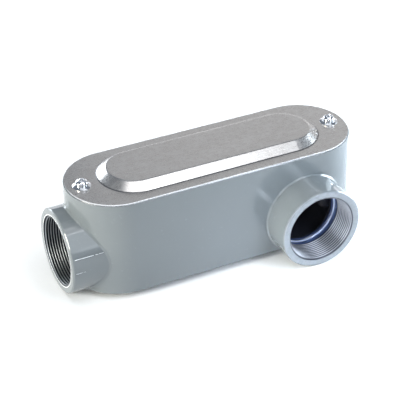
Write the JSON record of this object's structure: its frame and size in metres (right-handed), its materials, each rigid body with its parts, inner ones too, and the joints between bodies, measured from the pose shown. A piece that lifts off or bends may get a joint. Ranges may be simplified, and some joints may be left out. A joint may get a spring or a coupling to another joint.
{
  "type": "conduit body",
  "caption": "Elongated conduit body with an end hub, a side hub and a gasketed screw-down cover with a raised panel.",
  "frame": {"origin": "centre of the end hub's mouth, on that hub's axis", "axes": "+X along the end hub's axis into the body, -Y out through the side hub, +Z towards the cover; both hub axes lie in Z = 0"},
  "size_m": [0.2651, 0.1115, 0.0977],
  "materials": {
    "paint": "glossy blue-grey paint",
    "gasket": "matte",
    "cover_sheet": "satin",
    "bright_washer": "bright plated",
    "bright_screw": "bright plated"
  },
  "bodies": {
    "root": {"conduit_body": "paint", "gasket": "gasket", "cover": "cover_sheet", "washer_end": "bright_washer", "washer_far": "bright_washer", "screw_end": "bright_screw", "screw_far": "bright_screw"}
  },
  "joints": []
}
